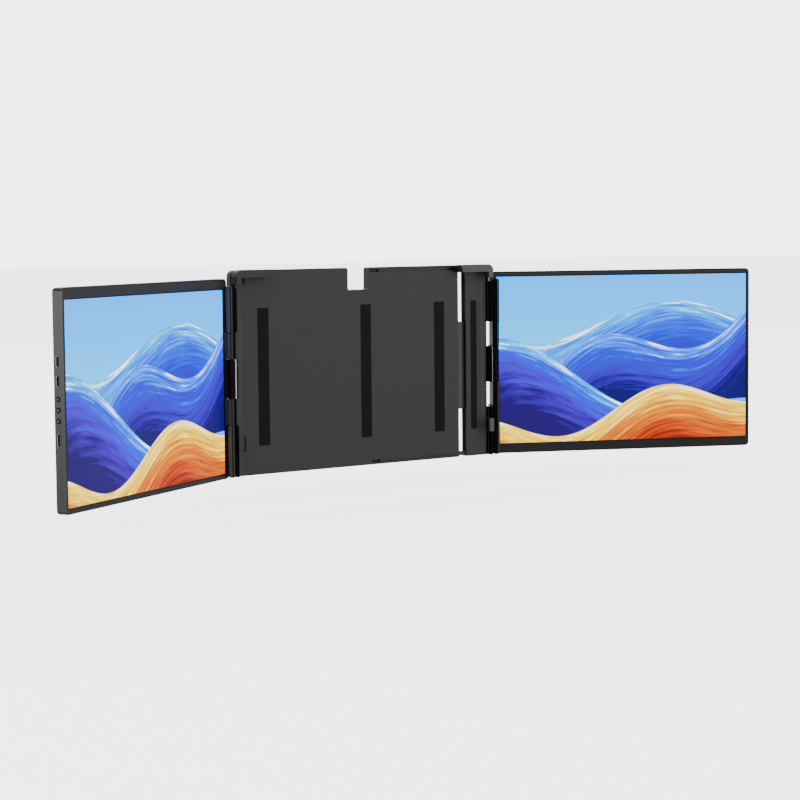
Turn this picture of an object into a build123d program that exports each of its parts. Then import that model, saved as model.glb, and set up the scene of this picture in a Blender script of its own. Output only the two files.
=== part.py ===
"""A clip-on extender that hangs two extra screens beside a laptop's own.

Millimetres, +Z up, +Y away from the person who looks at the screens.  The origin
is the middle of the centre seat pad: y = 0 is the plane that the back of the
laptop's lid rests on, and z = 0 is the mid-height of the screens and their hinges.
Both screens are the same unit; the right one is turned upside down.
"""
from build123d import *
from math import atan2, cos, degrees, radians, sin, sqrt
import os

os.makedirs("parts", exist_ok=True)

# ---------------------------------------------------------------- driving sizes
# the laptop lid that the bracket grips
lid_width = 304.1
lid_slot = 6.0
lid_top = 94.5

# the flat bracket behind the lid
plate_top = 101.0
plate_bottom = -92.5
plate_front = 0.4
plate_rear = 9.0
cover_thickness = 2.0
cover_rounding = 0.8
wall = 1.6
plate_corner = 2.0
notch_centre = -8.6
notch_width = 24.4
notch_depth = 21.5

# hooks that reach round the lid's edges, measured inwards from the lid's edge
hook_outside = 2.0
hook_wall = 1.8
hook_front_wall = 1.3
hook_reach = 7.5
clip_reach = 6.2
flange_reach = 4.0
hook_standoff = 2.5
hook_height = 6.0
clip_height = 13.4
clip_centre = -61.7
clip_chamfer = 1.5
pad_gap = 0.1
block_length = 41.0
block_rise = 0.4
block_corner = 6.0
block_rounding = 0.4
block_slant = 2.0
block_relief = 0.6
relief_margin = 1.5
lip_overlap = 0.5
lip_gap = 0.3
liner_thickness = 1.0
liner_gap = 0.2
liner_end = 4.0
liner_proud = 1.2
plug_drop = 0.4
liner_rounding = 0.8
clip_rounding = 0.8
shoe_rounding = 0.5

# hinges
axis_outside = 7.5
axis_depth = -4.6
barrel_radius = 3.7
knuckle_radius = 3.4
core_radius = 3.1
groove_width = 0.9
groove_depth = 0.5
groove_turn = 16.0
pin_radius = 1.5
pin_clearance = 0.05
press_clearance = 0.01
window_half = 18.5
window_gap = 0.3
knuckle_length = 24.0
washer_thickness = 0.6
washer_gap = 0.1
pin_length = 49.0
pin_end = 0.5
pin_bore_end = 0.2
barrel_top = 87.0
barrel_dome = 2.6
frame_width = 8.0
frame_face = 0.6
web_rear = 3.3
web_front = -1.2
web_inset = 0.5
neck_thickness = 2.4
neck_gap = 0.4
trim_width = 1.3
trim_return = 2.6
trim_thickness = 0.4
trim_rounding = 0.3
window_pocket = 3.0

# a screen unit
display_width = 271.4
display_height = 171.4
bezel_outer = 3.4
bezel_inner = 7.15
bezel_thin = 5.3
bezel_thick = 10.1
screen_thickness = 10.1
screen_corner = 4.0
screen_hinge_overlap = 2.3
shell_wall = 1.8
shell_back = 1.6
shell_rounding = 1.5
shell_edge = 0.4
rim_width = 1.0
bezel_gap = 0.1
bezel_plate = 0.6
bezel_drop = 0.1
panel_thickness = 1.0
panel_lap = 1.4
backlight_thickness = 1.5
board_thickness = 0.8
board_width = 42.0
board_height = 112.0
board_gap = 1.2
chip_size = 12.0
chip_thickness = 1.4
chip_inset = 26.0
chip_heights = (22.0, -24.0)
left_face_depth = 4.3
fold_gap = 0.6
left_rest_angle = 29.5
right_rest_angle = 24.3

# ports and buttons on the outer edge, by height above the unit's middle
port_depth = 5.7
usb_heights = (33.0, 17.0)
usb_size = (9.0, 3.2)
hdmi_height = -31.6
hdmi_size = (11.2, 3.2)
port_wall = 0.35
port_floor = 0.6
port_length = 7.3
port_gap = 0.15
port_drop = 0.1
tongue_side_gap = 1.2
tongue_thickness = 0.7
tongue_drop = 1.0
button_heights = (2.0, -7.0, -16.0)
button_radius = 2.2
button_hole_gap = 0.3
button_proud = 0.2
button_flange = 2.8
button_flange_half = 1.3
button_flange_thickness = 0.8
button_flange_gap = 0.2
button_rounding = 0.3
button_stem_radius = 0.9
button_travel = 0.4
button_slack = 0.1
stem_length = 2.4
switch_width = 4.5
switch_height = 2.8
switch_length = 2.6

# the leaf that carries a screen
leaf_thickness = 2.0
leaf_offset = 5.0
leaf_length = 34.0
leaf_root = 1.3
leaf_cut_gap = 0.15
leaf_slot_gap = 0.15
leaf_wall_gap = 0.2
leaf_screw_radius = 1.0
leaf_screw_head = 1.9
leaf_screw_head_thickness = 0.6
leaf_screw_inset = 9.0
leaf_screw_bite = 2.2
leaf_boss_margin = 0.6

# the sliding arm
arm_width = 19.0
arm_gap = 10.05
slide_in = 9.0
slide_out = 52.0
slide_plate_thickness = 1.5
slide_plate_depth = 3.6
slide_plate_half = 44.0
slide_plate_corner = 3.0
slot_inset = 8.0
slot_width = 8.0
slot_height = 24.0
stop_post_radius = 3.0
stop_post_gap = 0.3
bar_height = 4.2
bar_thickness = 1.6
bar_gap = 0.15
bar_end_gap = 2.6
channel_wall = 1.8
channel_mouth = 3.0
bar_edge_inset = 1.2
rail_lip = 3.0
rail_outer = 4.0
rail_left = 5.0
rail_gap = 0.15
rail_end_gap = 3.0
tongue_end_gap = 2.0
stop_screw_radius = 0.55
stop_screw_inset = 1.2
stop_screw_drop = 0.9
stop_screw_proud = 0.3

# seat pads and screws
pad_thickness = 0.8
pad_width = 12.0
pad_height = 130.0
pad_corner = 1.0
side_pad_inset = 24.5
arm_pad_width = 7.0
screw_radius = 1.0
screw_head_radius = 2.2
screw_head_depth = 1.2
screw_head_drop = 0.1
screw_length = 5.5
screw_gap = 0.2
boss_radius = 3.0
boss_inset = 7.0

# the fold-out stand on the back
stand_centre = -12.0
stand_width = 44.0
stand_thickness = 4.0
stand_gap = 0.3
stand_hinge_height = 70.0
stand_bottom = -84.0
stand_knuckle = 3.2
stand_pin_radius = 1.5
stand_corner = 4.0
stand_rounding = 0.8
ear_width = 9.0
ear_gap = 0.4
leg_insert_width = 30.0
leg_insert_thickness = 1.8
leg_insert_gap = 0.2
leg_insert_length = 125.0
leg_insert_proud = 2.0
leg_pocket_end = 6.0
foot_height = 5.0
foot_width = 36.0
foot_rounding = 1.2

# how far a cut runs past the surface that it opens
past = 1.0

# ---------------------------------------------------------------- worked out
half_lid = lid_width / 2
lid_front = -lid_slot
hook_front = lid_front - hook_standoff
cover_face = plate_rear - cover_thickness
knuckle_top = window_half + knuckle_length
barrel_start = knuckle_top + washer_thickness + 2 * washer_gap
screen_width = bezel_outer + display_width + bezel_inner
screen_height = bezel_thin + display_height + bezel_thick
display_shift = (bezel_thin - bezel_thick) / 2
screen_start = -screen_hinge_overlap
screen_end = screen_start + screen_width
screen_middle = screen_start + screen_width / 2
display_centre = screen_start + bezel_inner + display_width / 2
block_top = plate_top + block_rise
block_bottom = lid_top + liner_gap + liner_thickness
plate_middle = (plate_top + plate_bottom) / 2
bar_centre = plate_top - bar_edge_inset - bar_height / 2
bar_front = plate_front + wall + bar_gap
channel_left = notch_centre + notch_width / 2 + channel_wall
bar_left = channel_left + slide_in + bar_end_gap
slide_plate_left = rail_left + slide_in + tongue_end_gap
slot_length = slide_in + slide_out + 2 * (stop_post_radius + stop_post_gap)
slot_centre = slide_plate_left + slot_inset + slot_length / 2
stop_post_x = slide_plate_left + slot_inset + slide_out + stop_post_radius + stop_post_gap
LEFT, RIGHT = -1, 1
rest_angle = {LEFT: radians(left_rest_angle), RIGHT: radians(right_rest_angle)}
face_depth = {LEFT: left_face_depth, RIGHT: left_face_depth + screen_thickness + fold_gap}
side_name = {LEFT: "left", RIGHT: "right"}


def from_edge(side, inset):
    """The x of a place that lies inset inwards from the lid's edge on that side."""
    return side * (half_lid - inset)


axis_x = {side: from_edge(side, -axis_outside) for side in (LEFT, RIGHT)}
frame_inner = {side: from_edge(side, frame_width) for side in (LEFT, RIGHT)}
plate_left_end = frame_inner[LEFT]
arm_right_end = frame_inner[RIGHT]
arm_left_end = arm_right_end - arm_width
arm_middle = (arm_left_end + arm_right_end) / 2
plate_right_end = arm_left_end - arm_gap


def front_plane(y):
    """A plane that faces the viewer at depth y, with x to the right and z up."""
    return Plane.XZ.offset(-y)


def plan_plane(z):
    return Plane.XY.offset(z)


def rect(x0, y0, x1, y1, mode=Mode.ADD):
    """A rectangle between two corners, in the open sketch."""
    with Locations(((x0 + x1) / 2, (y0 + y1) / 2)):
        Rectangle(abs(x1 - x0), abs(y1 - y0), mode=mode)


def box(x0, x1, y0, y1, z0, z1, mode=Mode.ADD):
    """A block between its limits, in the open part."""
    with Locations(((x0 + x1) / 2, (y0 + y1) / 2, (z0 + z1) / 2)):
        Box(abs(x1 - x0), abs(y1 - y0), abs(z1 - z0), mode=mode)


def upright(x, y, radius, z0, z1, mode=Mode.ADD):
    """An upright cylinder between two heights, in the open part."""
    with Locations((x, y, (z0 + z1) / 2)):
        Cylinder(radius, z1 - z0, mode=mode)


def keep(part, name):
    part.label = name
    export_step(part, f"parts/{name}.step")


# ---------------------------------------------------------------- bracket
def plate_outline(left, right):
    """The bracket's outline with the notch in its top edge."""
    rect(left, plate_bottom, right, plate_top)
    with Locations((notch_centre, plate_top)):
        Rectangle(notch_width, 2 * notch_depth, mode=Mode.SUBTRACT)


def boss_places():
    """The middles of the cover's screws, as x and z."""
    high = bar_centre - bar_height / 2 - boss_inset
    low = 2 * plate_middle - high
    x_left = plate_left_end + boss_inset
    x_right = plate_right_end - boss_inset
    middle = (slide_plate_left + plate_left_end) / 2
    return [(x, z) for x in (x_left, middle, x_right) for z in (low, high)]


def make_bracket_front():
    depth = cover_face - plate_front - wall
    stop_screw = (plate_right_end - stop_screw_inset, plate_top - stop_screw_drop)
    with BuildPart() as bracket_front:
        with BuildSketch(front_plane(cover_face)) as outline:
            plate_outline(plate_left_end, plate_right_end)
            fillet(outline.vertices().group_by(Axis.X)[1:-1], plate_corner)
        extrude(amount=cover_face - plate_front)
        with BuildSketch(front_plane(cover_face)):
            plate_outline(plate_left_end, plate_right_end)
            offset(amount=-wall, kind=Kind.INTERSECTION)
        extrude(amount=depth, mode=Mode.SUBTRACT)
        with BuildSketch(front_plane(cover_face)):
            with Locations(*boss_places()):
                Circle(boss_radius)
            with Locations((stop_post_x, slot_height), (stop_post_x, -slot_height)):
                Circle(stop_post_radius)
        extrude(amount=depth)
        with BuildSketch(front_plane(cover_face)):
            with Locations(*boss_places()):
                Circle(screw_radius + press_clearance)
        extrude(amount=screw_length, mode=Mode.SUBTRACT)
        for centre in (bar_centre, 2 * plate_middle - bar_centre):
            mouth = channel_mouth / 2
            box(channel_left, plate_right_end + past, plate_front - past, plate_front + wall + past,
                centre - mouth, centre + mouth, Mode.SUBTRACT)
            half = bar_height / 2 + bar_gap
            box(channel_left, plate_right_end + past, plate_front + wall,
                bar_front + bar_thickness + bar_gap, centre - half, centre + half, Mode.SUBTRACT)
        with BuildSketch(front_plane(plate_front + wall)):
            with Locations(stop_screw):
                Circle(stop_screw_radius + press_clearance)
        extrude(amount=wall, mode=Mode.SUBTRACT)
        half = slide_plate_half + rail_gap
        box(plate_right_end - 2 * wall, plate_right_end + past, slide_plate_depth - rail_gap,
            slide_plate_depth + slide_plate_thickness + rail_gap, -half, half, Mode.SUBTRACT)
        for x in seat_pad_places():
            box(x - pad_width / 2, x + pad_width / 2, plate_front - past, pad_thickness,
                -pad_height / 2, pad_height / 2, Mode.SUBTRACT)
    return bracket_front.part


def seat_pad_places():
    """The middles of the bracket's three seat pads."""
    return [0.0, plate_left_end + side_pad_inset, plate_right_end - side_pad_inset]


def make_seat_pads():
    with BuildPart() as seat_pads:
        with BuildSketch(front_plane(pad_thickness)):
            with Locations(*[(x, 0) for x in seat_pad_places()]):
                RectangleRounded(pad_width, pad_height, pad_corner)
        extrude(amount=pad_thickness)
    return seat_pads.part


def make_bracket_rear():
    hinge_y = plate_rear + stand_gap + stand_knuckle
    half = stand_width / 2 + ear_gap
    with BuildPart() as bracket_rear:
        with BuildSketch(front_plane(plate_rear)) as outline:
            plate_outline(plate_left_end, plate_right_end)
            fillet(outline.vertices().group_by(Axis.X)[1:-1], plate_corner)
        extrude(amount=cover_thickness)
        fillet(bracket_rear.faces().sort_by(Axis.Y)[-1].edges(), cover_rounding)
        rib_low = bar_centre - bar_height / 2
        rib_high = plate_top - wall - pad_gap
        rib_front = bar_front + bar_thickness + bar_gap
        for z0, z1 in ((rib_low, rib_high), (2 * plate_middle - rib_high, 2 * plate_middle - rib_low)):
            box(channel_left, plate_right_end - rail_end_gap, rib_front, cover_face, z0, z1)
        for x0 in (stand_centre - half - ear_width, stand_centre + half):
            with BuildSketch(Plane.YZ.offset(x0)):
                with Locations((hinge_y, stand_hinge_height)):
                    Circle(stand_knuckle)
                rect(cover_face, stand_hinge_height - stand_knuckle, hinge_y,
                     stand_hinge_height + stand_knuckle)
            extrude(amount=ear_width)
        with BuildSketch(Plane.YZ.offset(stand_centre - half - ear_width)):
            with Locations((hinge_y, stand_hinge_height)):
                Circle(stand_pin_radius + press_clearance)
        extrude(amount=2 * (half + ear_width), mode=Mode.SUBTRACT)
        with BuildSketch(front_plane(plate_rear)):
            with Locations(*boss_places()):
                Circle(screw_radius + screw_gap)
        extrude(amount=cover_thickness, mode=Mode.SUBTRACT)
        with BuildSketch(front_plane(plate_rear)):
            with Locations(*boss_places()):
                Circle(screw_head_radius + screw_gap)
        extrude(amount=screw_head_depth, mode=Mode.SUBTRACT)
    return bracket_rear.part


def make_screws(places):
    """Pan-head screws driven forwards through a rear cover, heads just below its face."""
    with BuildPart() as screws:
        with BuildSketch(front_plane(plate_rear - screw_head_drop)):
            with Locations(*places):
                Circle(screw_head_radius)
        extrude(amount=screw_head_depth - screw_head_drop)
        with BuildSketch(front_plane(plate_rear - screw_head_depth)):
            with Locations(*places):
                Circle(screw_radius)
        extrude(amount=screw_length)
    return screws.part


def make_guide_rails():
    """Two channels that hold the edges of the slide plate."""
    with BuildPart() as guide_rails:
        for sign in (-1, 1):
            inner = sign * (slide_plate_half - rail_lip)
            outer = sign * (slide_plate_half + rail_outer)
            box(rail_left, plate_right_end - rail_end_gap, plate_front + wall, cover_face, inner, outer)
            groove = sign * (slide_plate_half + rail_gap)
            box(rail_left, plate_right_end - rail_end_gap, slide_plate_depth - rail_gap,
                slide_plate_depth + slide_plate_thickness + rail_gap, inner - sign, groove, Mode.SUBTRACT)
    return guide_rails.part


def make_stop_screw():
    """The small screw that ends the slide's channel."""
    with BuildPart() as stop_screw:
        with BuildSketch(front_plane(plate_front + wall)):
            with Locations((plate_right_end - stop_screw_inset, plate_top - stop_screw_drop)):
                Circle(stop_screw_radius)
        extrude(amount=wall + stop_screw_proud)
    return stop_screw.part


# ---------------------------------------------------------------- hinge columns
def make_hinge_frame(side):
    """The end of the bracket, with the fixed barrels that stand out from its side."""
    x_axis = axis_x[side]
    inner = frame_inner[side]
    face = from_edge(side, frame_face)
    outer = from_edge(side, -hook_outside)
    wall_in = from_edge(side, hook_wall - hook_outside)
    clip_half = clip_height / 2 + pad_gap
    lip_heights = (
        (plate_bottom, clip_centre - clip_half),
        (clip_centre + clip_half, -barrel_start),
        (barrel_start, barrel_top - barrel_dome),
    )
    with BuildPart() as hinge_frame:
        with BuildSketch(front_plane(plate_rear)) as outline:
            rect(inner, plate_bottom, face, plate_top)
            rect(inner, plate_bottom, outer, -barrel_start)
            rect(inner, barrel_start, outer, plate_top)
            fillet(outline.vertices().sort_by_distance((outer, plate_top, 0))[0], block_corner)
            fillet(outline.vertices().sort_by_distance((outer, plate_bottom, 0))[0], plate_corner)
        extrude(amount=plate_rear - plate_front)
        for z0, z1 in lip_heights:
            box(outer, wall_in, axis_depth + web_front, plate_front, z0, z1)
        for end, start in ((plate_bottom, -barrel_start), (barrel_top, barrel_start)):
            dome = (end - start) / abs(end - start) * barrel_dome
            with BuildSketch(plan_plane(start)):
                with BuildLine():
                    Polyline(
                        (x_axis, axis_depth),
                        (x_axis, axis_depth + barrel_radius - web_inset),
                        (outer, axis_depth + web_rear),
                        (outer, axis_depth + web_front),
                        close=True,
                    )
                make_face()
            extrude(amount=end - dome - start)
            with BuildSketch(front_plane(axis_depth)):
                with BuildLine():
                    Polyline(
                        (x_axis + side * (barrel_radius - barrel_dome), end),
                        (x_axis, end),
                        (x_axis, start),
                        (x_axis + side * barrel_radius, start),
                        (x_axis + side * barrel_radius, end - dome),
                    )
                    TangentArc(
                        (x_axis + side * barrel_radius, end - dome),
                        (x_axis + side * (barrel_radius - barrel_dome), end),
                        tangent=(0, dome),
                    )
                make_face()
            revolve(axis=Axis((x_axis, axis_depth, 0), (0, 0, 1)))
            middle = (x_axis, axis_depth, (start + end) / 2)
            with Locations(Location(middle, (0, 0, side * groove_turn - 90))):
                with Locations((barrel_radius, 0, 0)):
                    Box(2 * groove_depth, groove_width, abs(end - start), mode=Mode.SUBTRACT)
        box(face, face - side * window_pocket, plate_front + wall, plate_rear - wall,
            -window_half, window_half, Mode.SUBTRACT)
        bore = pin_radius + press_clearance
        reach = window_half + pin_end + pin_length + pin_bore_end
        for z0, z1 in ((-reach, -barrel_start), (barrel_start, reach)):
            upright(x_axis, axis_depth, bore, z0, z1, Mode.SUBTRACT)
    return hinge_frame.part


def make_hinge_core(side):
    """The dark filling of the stretch between a hinge's two knuckles."""
    x_axis = axis_x[side]
    outer = from_edge(side, -hook_outside)
    wall_in = from_edge(side, hook_wall - hook_outside)
    pocket = from_edge(side, frame_face + window_pocket)
    front = axis_depth + web_front
    plug_front = plate_front + wall + pad_gap
    plug_rear = plate_rear - wall - pad_gap
    top = window_half - window_gap
    with BuildPart() as hinge_core:
        with BuildSketch(plan_plane(-top)):
            with Locations((x_axis, axis_depth)):
                Circle(core_radius)
            rect(x_axis, front + trim_return + pad_gap, outer, axis_depth + web_rear - web_inset)
            rect(outer, front, wall_in, plug_rear)
            rect(outer, plug_front, pocket, plug_rear)
        extrude(amount=2 * top)
    return hinge_core.part


def make_window_trim(side):
    """The bright strip along the front of the hinge's core, turned in at both ends."""
    outer = from_edge(side, -hook_outside)
    front = axis_depth + web_front
    top = window_half - window_gap
    with BuildPart() as window_trim:
        with BuildSketch(Plane.YZ.offset(outer)):
            rect(front, -top, front + trim_width, top)
            for sign in (-1, 1):
                rect(front, sign * top, front + trim_return, sign * (top - trim_width))
        extrude(amount=side * trim_thickness)
        corner = (outer + side * trim_thickness, front, 0)
        fillet(window_trim.edges().filter_by(Axis.Z).sort_by_distance(corner)[0], trim_rounding)
    return window_trim.part


def make_hinge_pins(side):
    with BuildPart() as hinge_pins:
        start = window_half + pin_end
        for z0, z1 in ((start, start + pin_length), (-start - pin_length, -start)):
            upright(axis_x[side], axis_depth, pin_radius, z0, z1)
    return hinge_pins.part


def make_hinge_washers(side):
    with BuildPart() as hinge_washers:
        start = knuckle_top + washer_gap
        for z0, z1 in ((start, start + washer_thickness), (-start - washer_thickness, -start)):
            upright(axis_x[side], axis_depth, barrel_radius, z0, z1)
            upright(axis_x[side], axis_depth, pin_radius + press_clearance, z0, z1, Mode.SUBTRACT)
    return hinge_washers.part


# ---------------------------------------------------------------- hooks
def make_corner_block(side):
    """The finger along the lid's top edge, with a wall and a hook round its corner."""
    outer = from_edge(side, -hook_outside)
    end = from_edge(side, block_length - hook_outside)
    wall_in = from_edge(side, hook_wall - hook_outside)
    flange = from_edge(side, flange_reach)
    hook_bottom = lid_top - lip_overlap - hook_height
    with BuildPart() as corner_block:
        with BuildSketch(front_plane(plate_front)):
            with BuildLine():
                Polyline(
                    (outer, block_bottom),
                    (outer, block_top),
                    (end, block_top),
                    (end + side * block_slant, block_bottom),
                    close=True,
                )
            make_face()
        extrude(amount=plate_front - hook_front)
        with BuildSketch(front_plane(lid_front - lip_gap)):
            rect(outer, lid_top - lip_overlap, end + side * block_slant, block_bottom)
        extrude(amount=lid_front - lip_gap - hook_front)
        with BuildSketch(front_plane(plate_front)):
            rect(outer, hook_bottom, wall_in, block_bottom)
        extrude(amount=plate_front - hook_front)
        with BuildSketch(front_plane(hook_front + hook_front_wall)):
            rect(outer, hook_bottom, flange, block_bottom)
        extrude(amount=hook_front_wall)
        corner = corner_block.edges().filter_by(Axis.Y).sort_by_distance((outer, hook_front, block_top))[0]
        fillet(corner, block_corner)
        front = corner_block.faces().sort_by(Axis.Y)[0]
        fillet(front.edges(), block_rounding)
        relief = from_edge(side, frame_width + arm_width - relief_margin)
        box(end - side * past, relief, plate_front - block_relief, plate_front + past,
            block_bottom - past, block_top + past, Mode.SUBTRACT)
    return corner_block.part


def make_corner_liner(side):
    """Rubber under the finger; on the sliding side its plug fills the finger's end."""
    finger_end = block_length - hook_outside
    start = from_edge(side, -pad_gap)
    bottom = lid_top + liner_gap
    with BuildPart() as corner_liner:
        box(start, from_edge(side, finger_end), lid_front, -pad_gap, bottom, block_bottom)
        if side == RIGHT:
            plug = from_edge(side, finger_end + pad_gap)
            end = from_edge(side, finger_end + liner_end)
            front = lid_front - liner_proud
            box(start, end, lid_front, -pad_gap, bottom, block_bottom)
            box(plug, end, front, -pad_gap, bottom, plate_top - plug_drop)
            box(plug, end, front, lid_front - lip_gap, lid_top - lip_overlap, bottom)
            fillet(corner_liner.edges().filter_by(Axis.Y).sort_by(Axis.Z)[-2:], liner_rounding)
    return corner_liner.part


def hook_pad(side, reach, z0, z1):
    """A rubber shoe behind and beside a hook's flange, in the open part."""
    inner = from_edge(side, reach)
    root = from_edge(side, hook_wall - hook_outside + pad_gap)
    step = from_edge(side, flange_reach + pad_gap)
    shelf = hook_front + hook_front_wall
    box(root, inner, shelf, lid_front - pad_gap, z0, z1)
    box(step, inner, hook_front + pad_gap, shelf, z0, z1)


def make_hook_pad(side):
    top = lid_top - lip_overlap
    with BuildPart() as pad:
        hook_pad(side, hook_reach, top - hook_height + pad_gap, top - pad_gap)
        fillet(pad.edges().filter_by(Axis.Z).sort_by_distance((0, hook_front, top))[0], shoe_rounding)
    return pad.part


def make_lower_clip(side):
    """The clip that holds the lid's edge near the bottom of the column."""
    outer = from_edge(side, -hook_outside)
    wall_in = from_edge(side, hook_wall - hook_outside)
    flange = from_edge(side, flange_reach)
    z0 = clip_centre - clip_height / 2
    z1 = clip_centre + clip_height / 2
    with BuildPart() as lower_clip:
        box(outer, wall_in, hook_front, plate_front, z0, z1)
        box(outer, flange, hook_front, hook_front + hook_front_wall, z0, z1)
        for z in (z0, z1):
            corner = lower_clip.edges().filter_by(Axis.Y).sort_by_distance((flange, hook_front, z))[0]
            chamfer(corner, clip_chamfer)
        front = lower_clip.edges().filter_by(Axis.Z).sort_by_distance((outer, hook_front, clip_centre))[0]
        fillet(front, clip_rounding)
    return lower_clip.part


def make_clip_pad(side):
    half = clip_height / 2 - pad_gap
    with BuildPart() as pad:
        hook_pad(side, clip_reach, clip_centre - half, clip_centre + half)
        fillet(pad.edges().filter_by(Axis.Z).sort_by_distance((0, hook_front, clip_centre))[0], shoe_rounding)
    return pad.part


# ---------------------------------------------------------------- sliding arm
def make_slide_plate():
    """The steel tongue that slides in the guide rails."""
    with BuildPart() as slide_plate:
        with BuildSketch(front_plane(slide_plate_depth + slide_plate_thickness)) as tongue:
            rect(slide_plate_left, -slide_plate_half, arm_right_end, slide_plate_half)
            fillet(tongue.vertices().group_by(Axis.X)[0], slide_plate_corner)
            with Locations((slot_centre, slot_height), (slot_centre, -slot_height)):
                SlotOverall(slot_length, slot_width, mode=Mode.SUBTRACT)
        extrude(amount=slide_plate_thickness)
    return slide_plate.part


def make_slide_bars():
    with BuildPart() as slide_bars:
        for centre in (bar_centre, 2 * plate_middle - bar_centre):
            box(bar_left, arm_right_end, bar_front, bar_front + bar_thickness,
                centre - bar_height / 2, centre + bar_height / 2)
    return slide_bars.part


def arm_screw_places():
    """The middles of the arm cover's screws, as x and z."""
    z = slide_plate_half + 2 * boss_inset
    return [(arm_middle, z), (arm_middle, -z)]


def clamp_blocks(y0, y1):
    """The two blocks that pinch the tongue inside the arm, in the open part."""
    for z in (-slide_plate_half / 2, slide_plate_half / 2):
        box(arm_middle - boss_radius, arm_middle + boss_radius, y0, y1, z - boss_radius, z + boss_radius)


def make_arm_shell():
    """The front half of the sliding arm, open at both sides and at the back."""
    with BuildPart() as arm_shell:
        box(arm_left_end, arm_right_end, plate_front, cover_face, plate_bottom, plate_top)
        box(arm_left_end - past, arm_right_end + past, plate_front + wall, cover_face,
            plate_bottom + bar_edge_inset, plate_top - bar_edge_inset, Mode.SUBTRACT)
        with BuildSketch(front_plane(cover_face)):
            with Locations(*arm_screw_places()):
                Circle(boss_radius)
        extrude(amount=cover_face - plate_front - wall)
        with BuildSketch(front_plane(cover_face)):
            with Locations(*arm_screw_places()):
                Circle(screw_radius + press_clearance)
        extrude(amount=screw_length, mode=Mode.SUBTRACT)
        clamp_blocks(plate_front + wall, slide_plate_depth)
        box(arm_middle - arm_pad_width / 2, arm_middle + arm_pad_width / 2, plate_front - past,
            pad_thickness, -pad_height / 2, pad_height / 2, Mode.SUBTRACT)
    return arm_shell.part


def make_arm_cover():
    with BuildPart() as arm_cover:
        box(arm_left_end, arm_right_end, cover_face, plate_rear, plate_bottom, plate_top)
        fillet(arm_cover.faces().sort_by(Axis.Y)[-1].edges(), cover_rounding)
        clamp_blocks(slide_plate_depth + slide_plate_thickness, cover_face)
        with BuildSketch(front_plane(plate_rear)):
            with Locations(*arm_screw_places()):
                Circle(screw_radius + screw_gap)
        extrude(amount=cover_thickness, mode=Mode.SUBTRACT)
        with BuildSketch(front_plane(plate_rear)):
            with Locations(*arm_screw_places()):
                Circle(screw_head_radius + screw_gap)
        extrude(amount=screw_head_depth, mode=Mode.SUBTRACT)
    return arm_cover.part


def make_arm_pad():
    with BuildPart() as arm_pad:
        with BuildSketch(front_plane(pad_thickness)):
            with Locations((arm_middle, 0)):
                RectangleRounded(arm_pad_width, pad_height, pad_corner)
        extrude(amount=pad_thickness)
    return arm_pad.part


# ---------------------------------------------------------------- fold-out stand
def make_stand_leg():
    """A flat leg with a pocket for its pull-out end, hung from a knuckle at its top."""
    y0 = plate_rear + stand_gap
    hinge_y = y0 + stand_knuckle
    x0 = stand_centre - stand_width / 2
    x1 = stand_centre + stand_width / 2
    pocket = leg_insert_width / 2 + leg_insert_gap
    mid = y0 + stand_thickness / 2
    slot = leg_insert_thickness / 2 + leg_insert_gap
    with BuildPart() as stand_leg:
        box(x0, x1, y0, y0 + stand_thickness, stand_bottom, stand_hinge_height)
        fillet(stand_leg.edges().filter_by(Axis.Y).sort_by(Axis.Z)[:2], stand_corner)
        fillet(stand_leg.faces().sort_by(Axis.Y)[-1].edges().sort_by(Axis.Z)[:-1], stand_rounding)
        with BuildSketch(Plane.YZ.offset(x0)):
            with Locations((hinge_y, stand_hinge_height)):
                Circle(stand_knuckle)
        extrude(amount=stand_width)
        top = stand_bottom - leg_insert_proud + leg_insert_length + leg_pocket_end
        box(stand_centre - pocket, stand_centre + pocket, mid - slot, mid + slot,
            stand_bottom - past, top, Mode.SUBTRACT)
        with BuildSketch(Plane.YZ.offset(x0)):
            with Locations((hinge_y, stand_hinge_height)):
                Circle(stand_pin_radius + pin_clearance)
        extrude(amount=stand_width, mode=Mode.SUBTRACT)
    return stand_leg.part


def make_stand_insert():
    mid = plate_rear + stand_gap + stand_thickness / 2
    z0 = stand_bottom - leg_insert_proud
    with BuildPart() as stand_insert:
        box(stand_centre - leg_insert_width / 2, stand_centre + leg_insert_width / 2,
            mid - leg_insert_thickness / 2, mid + leg_insert_thickness / 2, z0, z0 + leg_insert_length)
    return stand_insert.part


def make_stand_foot():
    mid = plate_rear + stand_gap + stand_thickness / 2
    z1 = stand_bottom - leg_insert_proud
    with BuildPart() as stand_foot:
        box(stand_centre - foot_width / 2, stand_centre + foot_width / 2,
            mid - stand_thickness / 2, mid + stand_thickness / 2, z1 - foot_height, z1)
        fillet(stand_foot.edges().filter_by(Axis.X).sort_by(Axis.Z)[:2], foot_rounding)
    return stand_foot.part


def make_stand_pin():
    hinge_y = plate_rear + stand_gap + stand_knuckle
    half = stand_width / 2 + ear_gap + ear_width
    with BuildPart() as stand_pin:
        with BuildSketch(Plane.YZ.offset(stand_centre - half)):
            with Locations((hinge_y, stand_hinge_height)):
                Circle(stand_pin_radius)
        extrude(amount=2 * half)
    return stand_pin.part


# ---------------------------------------------------------------- screens
def screen_plane(side):
    """The plane through a hinge's axis along its screen: x outwards, z backwards."""
    a = rest_angle[side]
    outwards = (side * cos(a), -sin(a), 0)
    backwards = (side * sin(a), cos(a), 0)
    return Plane(origin=(axis_x[side], axis_depth, 0), x_dir=outwards, z_dir=backwards)


def edge_plane(side, out):
    """A plane across the unit at distance out from the axis: x up the unit, y backwards."""
    base = screen_plane(side)
    origin = base.from_local_coords(Vector(out, 0, 0))
    return Plane(origin=origin, x_dir=base.y_dir, z_dir=base.x_dir)


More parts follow.
